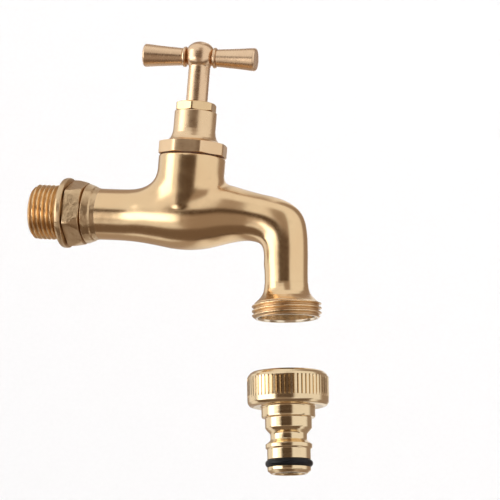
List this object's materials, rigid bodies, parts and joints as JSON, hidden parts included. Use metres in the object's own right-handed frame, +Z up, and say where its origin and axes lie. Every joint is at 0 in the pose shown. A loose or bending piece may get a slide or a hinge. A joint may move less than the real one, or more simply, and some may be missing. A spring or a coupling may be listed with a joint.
{
  "type": "hose bib",
  "caption": "Brass bib tap with threaded inlet, T-handle screw-down valve, splayed threaded outlet and a screw-on hose connector.",
  "frame": {"origin": "centre of the inlet's end face, where the tap enters the wall fitting", "axes": "+X along the inlet, from the wall into the tap; +Z up the spindle; the outlet hangs towards -Z in the XZ plane, splayed 5.5 degrees towards +X"},
  "size_m": [0.1223, 0.0308, 0.1643],
  "materials": {
    "cast_brass": "satin polished casting, as-forged grey-gold on the hexagon",
    "turned_brass": "fine turned, satin",
    "connector_brass": "bright turned",
    "rubber": "smooth moulded",
    "fibre": "pressed fibre sheet",
    "packing": "braided graphite packing",
    "spring_steel": "bright spring wire"
  },
  "bodies": {
    "tap_body": {"body_casting": "cast_brass", "bonnet": "cast_brass", "bonnet_gasket": "fibre", "gland_nut": "turned_brass", "gland_follower": "turned_brass", "packing_ring_lower": "packing", "packing_ring_middle": "packing", "packing_ring_upper": "packing"},
    "valve": {"jumper": "turned_brass", "valve_washer": "rubber", "washer_nut": "turned_brass"},
    "spindle_and_handle": {"spindle": "turned_brass", "handle_arm_right": "turned_brass", "handle_arm_left": "turned_brass", "jumper_clip": "spring_steel"},
    "connector_seal": {"connector_washer": "rubber"},
    "connector": {"hose_connector": "connector_brass", "connector_o_ring": "rubber"}
  },
  "joints": [
    {"name": "valve_lift", "type": "slide", "parent": "tap_body", "child": "valve", "axis": [0, 0, 1], "range_m": [0, 0.0045]},
    {"name": "handle_turn", "type": "hinge", "parent": "valve", "child": "spindle_and_handle", "pos_m": [0.0615, 0, 0.0618], "axis": [0, 0, 1], "range_deg": [0, 811]},
    {"name": "connector_travel", "type": "slide", "parent": "tap_body", "child": "connector_seal", "axis": [-0.0958, 0, 0.9954], "range_m": [0, 0.0281]},
    {"name": "connector_turn", "type": "hinge", "parent": "connector_seal", "child": "connector", "pos_m": [0.10592, 0, -0.05729], "axis": [-0.0958, 0, 0.9954], "range_deg": [0, 5580]}
  ],
  "couplings": [
    {"joint": "handle_turn", "follows": "valve_lift", "rad_per_m": 3141.6},
    {"joint": "connector_turn", "follows": "connector_travel", "rad_per_m": 3463.7}
  ]
}
